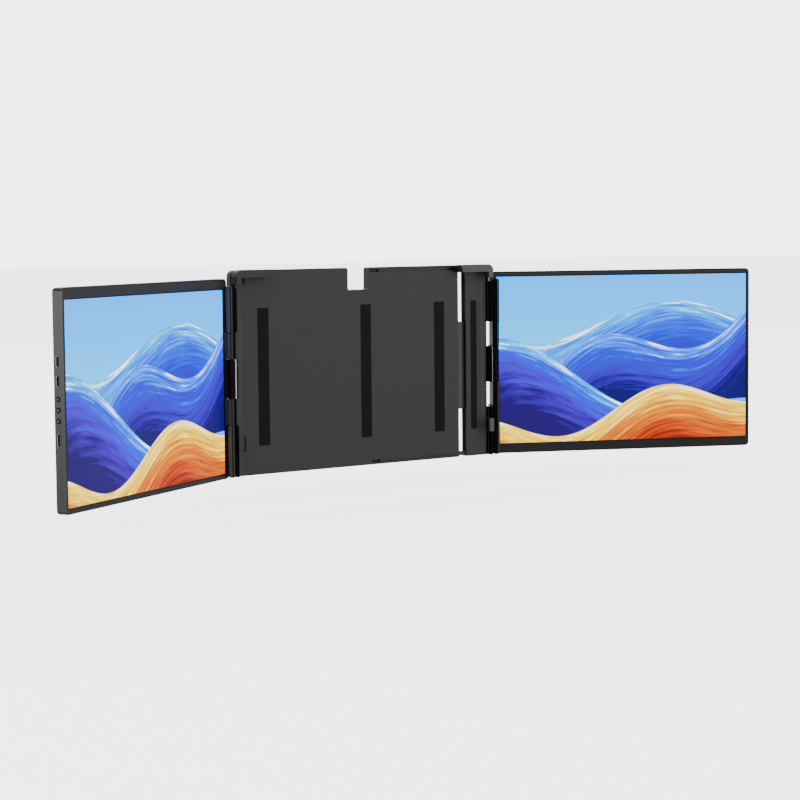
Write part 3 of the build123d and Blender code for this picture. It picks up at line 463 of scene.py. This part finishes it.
def bezel_finish(side):
    """Charcoal frame, painted lighter to the top, with a printed black line round the display."""
    made, sheet, shader = start_material(f"{side}_bezel_film")
    along, _, height = screen_place(sheet, side)
    drop = SIDES[side]["sign"] * DISPLAY_DROP
    x = sheet.math("ABSOLUTE", sheet.math("SUBTRACT", along, DISPLAY_CENTRE))
    z = sheet.math("ABSOLUTE", sheet.math("SUBTRACT", height, drop))
    off_x = sheet.math("SUBTRACT", x, DISPLAY_WIDTH / 2)
    off_z = sheet.math("SUBTRACT", z, DISPLAY_HEIGHT / 2)
    off = sheet.math("MAXIMUM", off_x, off_z)
    print_line = sheet.ramp_up(off, 1.3 * MM, 1.0 * MM)
    grained = sheet.use(moulding, Grain=2400.0, Drift=0.08)
    # Lighter towards the top: painted light from above.
    film_with_painted_light = painted_top_light(sheet, height, "1d1c1d", "272627")
    base = sheet.mix(print_line, film_with_painted_light, srgb("030303"))
    lay_on(sheet, shader, grained, base, (0.34, 0.44), relief=(0.15, 0.02 * MM), gloss=0.12)
    return made


def port_finish(side):
    """Plated lip with a painted highlight on its rear half, dark inside."""
    made, sheet, shader = start_material(f"{side}_port_metal")
    along, depth, _ = screen_place(sheet, side)
    lip = sheet.ramp_up(along, PORT_LIP - 0.5 * MM, PORT_LIP - 0.1 * MM)
    lined = sheet.use(brushing, Stretch=(1.0, 1.0, 30.0))
    middle = SIDES[side]["face"] + EDGE_DEPTH
    # The lip's rear half is lighter: a painted highlight.
    behind = sheet.ramp_up(depth, middle - 0.6 * MM, middle + 1.0 * MM)
    lip_painted_highlight = sheet.mix(behind, srgb("4c4c4c"), srgb("b4b4b2"))
    sheet.feed(shader["Base Color"], sheet.mix(lip, srgb("070707"), lip_painted_highlight))
    sheet.feed(shader["Metallic"], lip)
    sheet.feed(shader["Roughness"], sheet.rescale(lined["Lines"], 0.2, 0.4))
    return made


def button_finish(side):
    """Black button, partly dark plastic and partly painted shade, with a grey spot off its middle
    and a lighter rim as painted highlights.
    """
    made, sheet, shader = start_material(f"{side}_button_plastic")
    _, depth, height = screen_place(sheet, side)
    step = sheet.math("SUBTRACT", height, BUTTON_TOP - BUTTON_PITCH / 2)
    step = sheet.math("FLOORED_MODULO", step, BUTTON_PITCH)
    across = sheet.math("SUBTRACT", step, BUTTON_PITCH / 2)
    middle = SIDES[side]["face"] + EDGE_DEPTH + PAINTED_GLINT_SHIFT
    inwards = sheet.math("SUBTRACT", depth, middle)
    squares = [sheet.math("MULTIPLY", leg, leg) for leg in (across, inwards)]
    away = sheet.math("SQRT", sheet.math("ADD", *squares))
    # A grey spot, set off the middle towards the rear: a painted highlight.
    painted_glint = sheet.ramp_up(away, 1.25 * MM, 0.85 * MM)
    grained = sheet.use(moulding, Grain=1700.0, Drift=0.12)
    edged = sheet.use(edges, Radius=0.4 * MM)
    base = sheet.mix(painted_glint, srgb("0a0a0a"), srgb("4a4a4c"))
    # The rim is lightened on the softened edges: a painted highlight.
    base = sheet.mix(sheet.math("MULTIPLY", edged["Edge"], 0.3), base, srgb("6a6a6c"))
    relief = (0.25, 0.02 * MM)
    lay_on(sheet, shader, grained, base, (0.26, 0.4), relief, edged["Normal"], gloss=0.2)
    return made


def board_finish():
    """Green solder mask with a net of paler copper lines."""
    made, sheet, shader = start_material("board_mask")
    place = sheet.place(scale=(260.0, 260.0, 260.0))
    cells = sheet.node("ShaderNodeTexVoronoi", feature="DISTANCE_TO_EDGE", distance="CHEBYCHEV")
    sheet.feed(cells.inputs["Vector"], place)
    tracks = sheet.ramp_up(cells.outputs["Distance"], 0.05, 0.02)
    base = sheet.mix(tracks, srgb("0f3a22"), srgb("2c6b3f"))
    grained = sheet.use(moulding, Grain=900.0, Drift=0.15)
    lay_on(sheet, shader, grained, base, (0.25, 0.4))
    return made


# ---------------------------------------------------------------- the picture on the screens
SKY = ((0.0, "34dcff"), (0.55, "1cb4ff"), (1.0, "1898ff"))

# The folds from back to front: the crest's level, how often it waves, its phase, swing and
# tilt, and the colours from the deep shade up to the crest. Three are cool, the last is warm.
FOLDS = (
    (0.42, 1.7, 0.5, 0.26, 0.0,
     ((0.0, "2406a0"), (0.3, "0420b8"), (0.62, "0648dc"), (0.88, "14a8ec"), (1.0, "ffffff"))),
    (0.08, 2.3, 2.4, 0.3, 0.35,
     ((0.0, "100250"), (0.34, "2806a0"), (0.66, "0628c4"), (0.9, "1a84ff"), (1.0, "ffffff"))),
    (-0.34, 1.9, 4.3, 0.24, -0.25,
     ((0.0, "180450"), (0.38, "340aa8"), (0.7, "0430d0"), (0.92, "18b0f4"), (1.0, "ffffff"))),
    (-0.62, 2.6, 0.3, 0.2, 0.15,
     ((0.0, "741004"), (0.28, "a43402"), (0.55, "c46c02"), (0.84, "f0c804"), (1.0, "fff8c8"))),
)
PANEL_GLOW = 2.6


def threads(sheet, x, fan, along, across, layer, **grain):
    """Noise drawn out along a fold; a larger across makes finer threads."""
    place = sheet.join(sheet.math("MULTIPLY", x, along), sheet.math("MULTIPLY", fan, across), layer)
    return sheet.noise(place, **grain)


def fill_picture(sheet, given, result):
    """Silky waves over a pale sky; X and Z are counted in half heights from the middle."""
    x, z = given["X"], given["Z"]
    picture = sheet.colours(sheet.rescale(z, 0.5, 1.0), SKY)
    for number, (level, wave, phase, swing, tilt, stops) in enumerate(FOLDS):
        turned = sheet.math("SINE", sheet.math("MULTIPLY_ADD", x, wave, phase))
        slope = sheet.math("MULTIPLY_ADD", x, tilt, level)
        crest = sheet.math("MULTIPLY_ADD", turned, swing, slope)
        below = sheet.math("SUBTRACT", crest, z)
        fan = sheet.math("MULTIPLY", below, sheet.math("MULTIPLY_ADD", x, 0.35, 1.0))
        strands = threads(sheet, x, fan, 0.7, 9.0, number * 7.3, scale=2.4, detail=5.0, rough=0.6)
        hairs = threads(sheet, x, fan, 0.9, 40.0, number * 3.1, scale=2.0)
        shade = sheet.math("SUBTRACT", 0.9, sheet.math("MULTIPLY", below, 1.3))
        shade = sheet.math("ADD", shade, sheet.rescale(strands, -0.62, 0.62))
        shade = sheet.math("ADD", shade, sheet.rescale(hairs, -0.16, 0.16), clamp=True)
        silk = sheet.colours(shade, stops)
        picture = sheet.mix(sheet.ramp_up(below, -0.004, 0.006), picture, silk)
    sheet.feed(result["Colour"], picture)


picture_group = group(
    "wave_picture",
    [("X", FLOAT, 0.0), ("Z", FLOAT, 0.0)],
    [("Colour", COLOUR)],
    fill_picture,
)


def display_finish(side):
    """A lit panel with a matt front, black round its lit area."""
    made, sheet, shader = start_material(f"{side}_lit_panel")
    along, _, height = screen_place(sheet, side)
    sign = SIDES[side]["sign"]
    half = DISPLAY_HEIGHT / 2
    right = sheet.math("MULTIPLY", sheet.math("SUBTRACT", along, DISPLAY_CENTRE), sign / half)
    up = sheet.math("DIVIDE", sheet.math("SUBTRACT", height, sign * DISPLAY_DROP), half)
    painted = sheet.use(picture_group, X=right, Z=up)
    edge_x = DISPLAY_WIDTH / DISPLAY_HEIGHT
    in_x = sheet.ramp_up(sheet.math("ABSOLUTE", right), edge_x + 0.003, edge_x + 0.001)
    in_z = sheet.ramp_up(sheet.math("ABSOLUTE", up), 1.003, 1.001)
    lit = sheet.math("MULTIPLY", in_x, in_z)
    sheet.feed(shader["Base Color"], sheet.mix(lit, srgb("030303"), srgb("080808")))
    sheet.feed(shader["Emission Color"], sheet.mix(lit, (0, 0, 0, 1), painted["Colour"]))
    shader["Emission Strength"].default_value = PANEL_GLOW
    smear = sheet.noise(sheet.place(), scale=30.0, detail=3.0, rough=0.6)
    sheet.feed(shader["Roughness"], sheet.rescale(smear, 0.2, 0.3))
    shader["Specular IOR Level"].default_value = 0.06
    return made


# ---------------------------------------------------------------- dress the carried-over nodes
def dress(name, material):
    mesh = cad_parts[name].data
    if not mesh.materials:
        mesh.materials.append(material)
    for index in range(len(mesh.materials)):
        mesh.materials[index] = material


board_mask = board_finish()
block_paint = block_finish()
frame_paint = hinge_finish("frame_paint", "363635", drift=0.12)
hinge_paint = hinge_finish("hinge_paint", "343433", drift=0.1)
for side in SIDES:
    port, button = port_finish(side), button_finish(side)
    finishes = {
        "rear_shell": shell_finish(side),
        "front_bezel": bezel_finish(side),
        "display_panel": display_finish(side),
        "backlight": light_guide,
        "driver_board": board_mask,
        "usb_ports": port,
        "hdmi_port": port,
        "hinge_leaf": hinge_paint,
        "leaf_screws": bright_steel,
        "hinge_frame": frame_paint,
        "hinge_core": core_black,
        "window_trim": trim_painted_highlight,
        "hinge_pins": bright_steel,
        "hinge_washers": washer_black,
        "corner_block": block_paint,
        "corner_liner": clip_rubber,
        "hook_pad": clip_rubber,
        "lower_clip": block_paint,
        "clip_pad": clip_rubber,
        "button_1": button,
        "button_2": button,
        "button_3": button,
    }
    for part, finish in finishes.items():
        dress(f"{side}_{part}", finish)

for name in ("bracket_front", "bracket_rear", "arm_shell", "arm_cover", "stand_leg"):
    dress(name, bracket_paint)
for name in ("lid_seat_pads", "arm_seat_pad", "stand_foot"):
    dress(name, clip_rubber)
for name in ("bracket_screws", "arm_screws", "slide_stop_screw", "stand_insert", "stand_pin"):
    dress(name, bright_steel)
dress("slide_bars", channel_steel)
dress("slide_plate", plate_steel)
dress("guide_rails", glide_nylon)

# ---------------------------------------------------------------- cross-recessed screws
HEAD_BOTTOM = 2.15 * MM
HEAD_TOP = 1.8 * MM
HEAD_DEPTH = 1.1 * MM
HEAD_SIDES = 40
HEADS_APART = 8 * MM
RECESS_LENGTH = 2.5 * MM
RECESS_WIDTH = 0.6 * MM
RECESS_DEPTH = 0.7 * MM
SHANK_RADIUS = 1.0 * MM
SHANK_SIDES = 24
WELD = 0.001 * MM
TURN_SEED = 7


def screw_places(node):
    """The middle of each screw's head on its outer face, and how far it reaches in."""
    corners = [vertex.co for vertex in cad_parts[node].data.vertices]
    heads = []
    for corner in corners:
        near = [head for head in heads if (head[0] - corner).length < HEADS_APART]
        if near:
            near[0].append(corner)
        else:
            heads.append([corner])
    outer = max(corner.y for corner in corners)
    inner = min(corner.y for corner in corners)
    places = []
    for head in heads:
        x = (min(c.x for c in head) + max(c.x for c in head)) / 2
        z = (min(c.z for c in head) + max(c.z for c in head)) / 2
        places.append((x, outer, z))
    return places, outer - inner


def screw_nodes():
    """Geometry nodes: one screw with a cross recess, put on each point at its own turn."""
    tree = bpy.data.node_groups.new("cross_screws", "GeometryNodeTree")
    tree.interface.new_socket("Points", in_out="INPUT", socket_type="NodeSocketGeometry")
    for label, value in (("Reach", 6.6 * MM), ("Cross", RECESS_LENGTH), ("Slot", RECESS_WIDTH)):
        socket = tree.interface.new_socket(label, in_out="INPUT", socket_type=FLOAT)
        socket.default_value = value
    tree.interface.new_socket("Finish", in_out="INPUT", socket_type="NodeSocketMaterial")
    tree.interface.new_socket("Screws", in_out="OUTPUT", socket_type="NodeSocketGeometry")
    sheet = Sheet(tree)
    given = sheet.node("NodeGroupInput").outputs
    result = sheet.node("NodeGroupOutput").inputs

    def moved(shape, y, turn):
        made = sheet.node("GeometryNodeTransform")
        sheet.feed(made.inputs["Geometry"], shape)
        sheet.feed(made.inputs["Translation"], sheet.join(0.0, y, 0.0))
        made.inputs["Rotation"].default_value = turn
        return made.outputs[0]

    head = sheet.node("GeometryNodeMeshCone", fill_type="NGON")
    head.inputs["Vertices"].default_value = HEAD_SIDES
    head.inputs["Radius Top"].default_value = HEAD_TOP
    head.inputs["Radius Bottom"].default_value = HEAD_BOTTOM
    head.inputs["Depth"].default_value = HEAD_DEPTH
    body = moved(head.outputs["Mesh"], -HEAD_DEPTH, (-pi / 2, 0, 0))

    # The second bar cuts slightly deeper, so that the two floors never lie in one plane.
    bars = (
        (given["Cross"], 2 * RECESS_DEPTH, given["Slot"]),
        (given["Slot"], 2.1 * RECESS_DEPTH, given["Cross"]),
    )
    for size in bars:
        bar = sheet.node("GeometryNodeMeshCube")
        sheet.feed(bar.inputs["Size"], sheet.join(*size))
        recess = sheet.node("GeometryNodeMeshBoolean", operation="DIFFERENCE")
        sheet.feed(recess.inputs[0], body)
        sheet.feed(recess.inputs[1], bar.outputs["Mesh"])
        merged = sheet.node("GeometryNodeMergeByDistance")
        sheet.feed(merged.inputs["Geometry"], recess.outputs["Mesh"])
        merged.inputs["Distance"].default_value = WELD
        body = merged.outputs[0]

    shank = sheet.node("GeometryNodeMeshCylinder", fill_type="NGON")
    shank.inputs["Vertices"].default_value = SHANK_SIDES
    shank.inputs["Radius"].default_value = SHANK_RADIUS
    length = sheet.math("SUBTRACT", given["Reach"], HEAD_DEPTH)
    sheet.feed(shank.inputs["Depth"], length)
    middle = sheet.math("MULTIPLY", sheet.math("ADD", given["Reach"], HEAD_DEPTH), -0.5)
    screw = sheet.node("GeometryNodeJoinGeometry")
    sheet.feed(screw.inputs[0], moved(shank.outputs["Mesh"], middle, (pi / 2, 0, 0)))
    sheet.feed(screw.inputs[0], body)

    turns = sheet.node("FunctionNodeRandomValue", data_type="FLOAT")
    turns.inputs["Max"].default_value = pi / 2
    turns.inputs["Seed"].default_value = TURN_SEED
    spread = sheet.node("GeometryNodeInstanceOnPoints")
    sheet.feed(spread.inputs["Points"], given["Points"])
    sheet.feed(spread.inputs["Instance"], screw.outputs[0])
    sheet.feed(spread.inputs["Rotation"], sheet.join(0.0, turns.outputs["Value"], 0.0))
    real = sheet.node("GeometryNodeRealizeInstances")
    sheet.feed(real.inputs[0], spread.outputs[0])
    finish = sheet.node("GeometryNodeSetMaterial")
    sheet.feed(finish.inputs["Geometry"], real.outputs[0])
    sheet.feed(finish.inputs["Material"], given["Finish"])
    sheet.feed(result["Screws"], finish.outputs[0])
    return tree


def cross_screws(name, node, body, tree):
    """Puts a cross-recessed screw at each of a node's screws, in that node's place."""
    places, reach = screw_places(node)
    points = bpy.data.meshes.new(f"{name}_points")
    points.from_pydata(places, [], [])
    maker = bpy.data.objects.new(f"{name}_points", points)
    bpy.context.scene.collection.objects.link(maker)
    modifier = maker.modifiers.new("screws", "NODES")
    modifier.node_group = tree
    items = tree.interface.items_tree
    sockets = {item.name: item.identifier for item in items if item.in_out == "INPUT"}
    modifier[sockets["Reach"]] = reach
    modifier[sockets["Cross"]] = RECESS_LENGTH
    modifier[sockets["Slot"]] = RECESS_WIDTH
    modifier[sockets["Finish"]] = bright_steel
    maker.update_tag()
    bpy.context.view_layer.update()
    graph = bpy.context.evaluated_depsgraph_get()
    mesh = bpy.data.meshes.new_from_object(maker.evaluated_get(graph), depsgraph=graph)
    bpy.data.objects.remove(maker)
    bpy.data.meshes.remove(points)
    mesh.name = name
    if not mesh.materials:
        mesh.materials.append(bright_steel)
    piece = bpy.data.objects.new(name, mesh)
    bpy.context.scene.collection.objects.link(piece)
    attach(piece, body)
    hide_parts(node)


screw_tree = screw_nodes()
cross_screws("bracket_cross_screws", "bracket_screws", "bracket", screw_tree)
cross_screws("arm_cross_screws", "arm_screws", "right_arm", screw_tree)

# ---------------------------------------------------------------- studio
FLOOR_LEVEL = -0.125
FLOOR_REACH = 12.0
FLOOR_GLOW = 2.6
SKY_LIGHT = 1.15
SKY_GLOW = 3.4

# Each lamp's place, width and power. All aim at the middle of the part.
LAMPS = {
    "key_light": ((-1.6, -1.2, 1.9), 1.4, 34.0),
    "fill_light": ((1.9, -1.6, 1.2), 1.8, 18.0),
    "back_light": ((0.4, 2.0, 1.6), 1.6, 20.0),
}


def seen_by_camera(sheet):
    return sheet.node("ShaderNodeLightPath").outputs["Is Camera Ray"]


def studio_floor():
    """A pale floor that glows only to the camera, so that it lights nothing."""
    mesh = bpy.data.meshes.new("studio_floor")
    turns = ((-1, -1), (1, -1), (1, 1), (-1, 1))
    corners = [(x * FLOOR_REACH, y * FLOOR_REACH, FLOOR_LEVEL) for x, y in turns]
    mesh.from_pydata(corners, [], [(0, 1, 2, 3)])
    floor = bpy.data.objects.new("studio_floor", mesh)
    bpy.context.scene.collection.objects.link(floor)
    made, sheet, shader = start_material("studio_card")
    soft = sheet.noise(sheet.place(), scale=1.5)
    sheet.feed(shader["Base Color"], sheet.mix(soft, srgb("f4f4f4"), srgb("f8f8f8")))
    shader["Roughness"].default_value = 0.9
    shader["Emission Color"].default_value = (1, 1, 1, 1)
    glow = sheet.math("MULTIPLY", seen_by_camera(sheet), FLOOR_GLOW)
    sheet.feed(shader["Emission Strength"], glow)
    mesh.materials.append(made)


def studio_lights():
    """Three soft lamps, and a white sky that looks brighter than it lights."""
    for name, (place, width, power) in LAMPS.items():
        data = bpy.data.lights.new(name, "AREA")
        data.shape = "RECTANGLE"
        data.size = width
        data.size_y = width * 0.7
        data.energy = power
        lamp = bpy.data.objects.new(name, data)
        bpy.context.scene.collection.objects.link(lamp)
        lamp.location = place
        lamp.rotation_euler = (-Vector(place)).to_track_quat("-Z", "Y").to_euler()
    world = bpy.data.worlds.new("studio_world")
    world.use_nodes = True
    sheet = Sheet(world.node_tree)
    sky = world.node_tree.nodes["Background"].inputs
    sky["Color"].default_value = (1, 1, 1, 1)
    strength = sheet.math("MULTIPLY_ADD", seen_by_camera(sheet), SKY_GLOW, SKY_LIGHT)
    sheet.feed(sky["Strength"], strength)
    bpy.context.scene.world = world


def studio_camera():
    data = bpy.data.cameras.new("studio_camera")
    data.sensor_width = 36.0
    data.lens = 98.28
    data.clip_end = 50.0
    camera = bpy.data.objects.new("studio_camera", data)
    bpy.context.scene.collection.objects.link(camera)
    camera.location = (-1.24864, -1.72612, 0.13942)
    camera.rotation_euler = (radians(85.4834), radians(0.5669), radians(-36.7991))
    bpy.context.scene.camera = camera


studio_floor()
studio_lights()
studio_camera()
